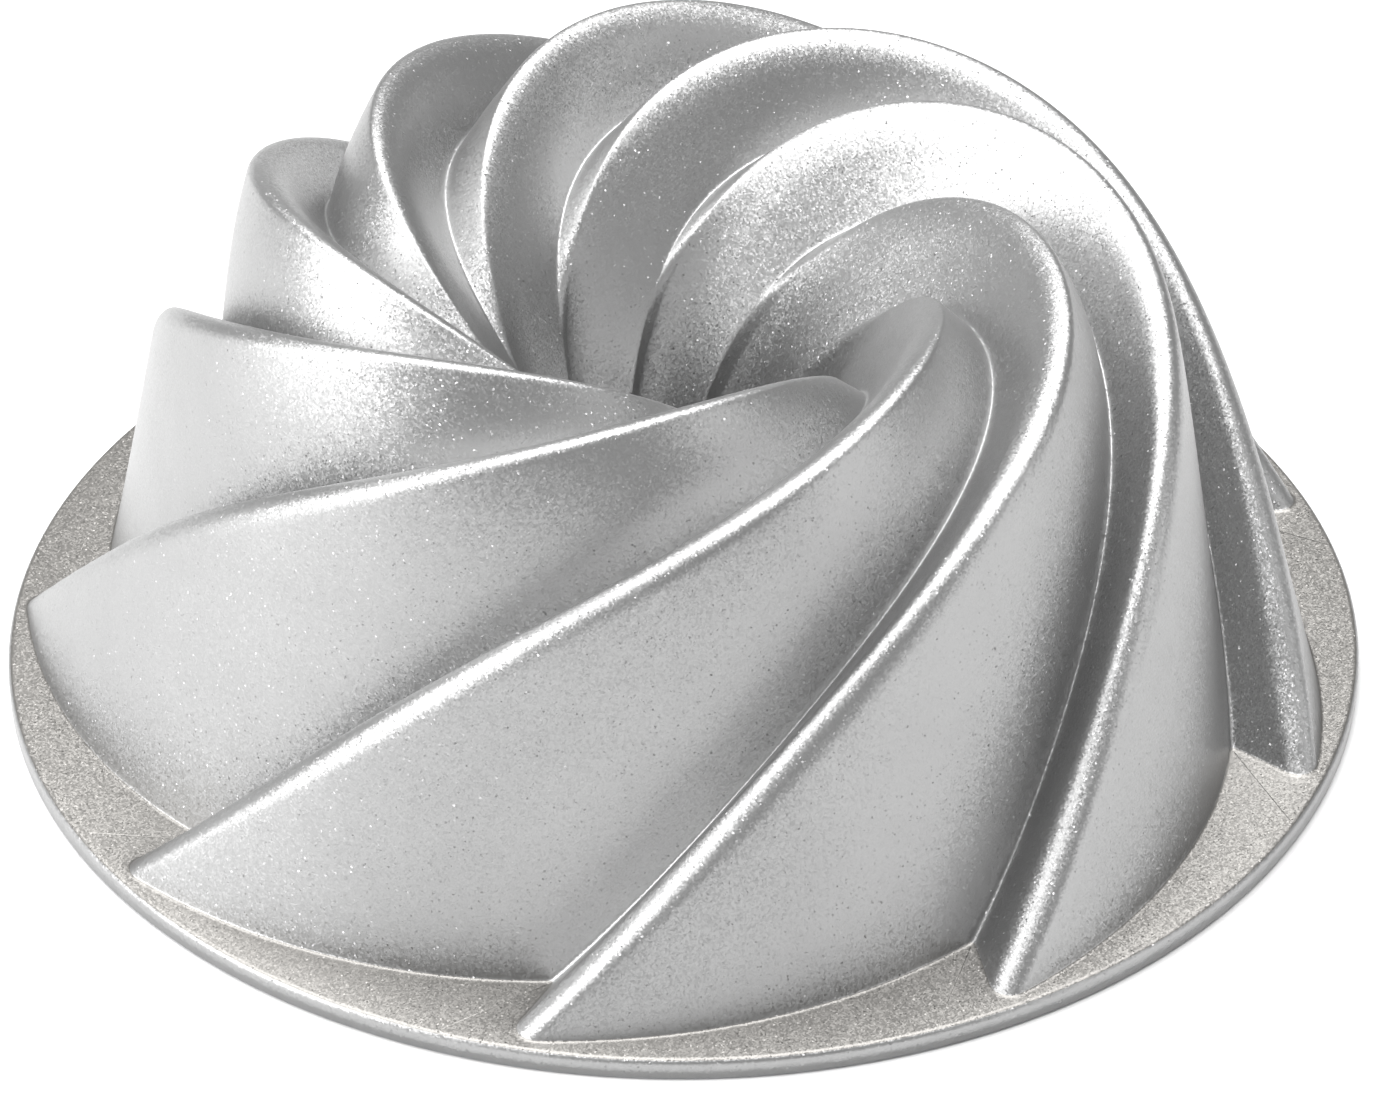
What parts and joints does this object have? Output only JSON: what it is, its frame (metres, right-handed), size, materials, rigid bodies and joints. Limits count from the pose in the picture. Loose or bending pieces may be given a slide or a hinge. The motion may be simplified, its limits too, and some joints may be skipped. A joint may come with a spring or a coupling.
{
  "type": "bundt pan",
  "caption": "Cast ring cake pan with swirled ridges, a plain open centre tube and a flat round rim flange, standing crown up.",
  "frame": {"origin": "on the pan's axis, in the plane of the rim flange's underside that the pan stands on", "axes": "+Z along the pan's axis, from the open baking side up to the crown; +X and +Y lie in the flange's underside"},
  "size_m": [0.26, 0.26, 0.0987],
  "materials": {
    "cast_aluminium": "as cast, wiped clean at the rim's edge, underside and collar",
    "nonstick_lining": "satin non-stick lining, baked on",
    "silver_coat": "satin silver coat with metal flake"
  },
  "bodies": {
    "root": {"pan_casting": "cast_aluminium", "interior_nonstick_lining": "nonstick_lining", "exterior_finish_coat": "silver_coat"}
  },
  "joints": []
}
